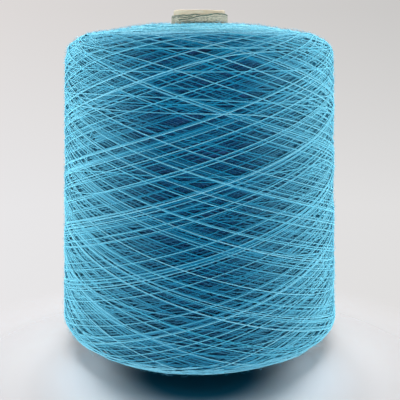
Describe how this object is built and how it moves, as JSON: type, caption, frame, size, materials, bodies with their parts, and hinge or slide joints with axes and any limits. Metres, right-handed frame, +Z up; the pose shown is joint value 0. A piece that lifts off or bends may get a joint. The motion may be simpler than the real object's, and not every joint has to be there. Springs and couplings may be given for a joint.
{
  "type": "cone of yarn",
  "caption": "Cone of yarn: a tapered cross-wound package on a paper cone, which stands on its wide end or slides over a tapered peg.",
  "frame": {"origin": "centre of the paper cone's wide end, on the surface that it stands on", "axes": "+Z up along the cone's axis towards its nose; the front, as first seen, faces -Y"},
  "size_m": [0.1488, 0.1488, 0.17],
  "materials": {
    "board": "matte",
    "liner_paper": "matte",
    "cover_paper": "matte",
    "yarn": "matte",
    "tail_yarn": "matte"
  },
  "bodies": {
    "root": {"core_board": "board", "core_liner": "liner_paper", "core_cover": "cover_paper", "yarn_package": "yarn", "transfer_tail": "tail_yarn"}
  },
  "joints": []
}
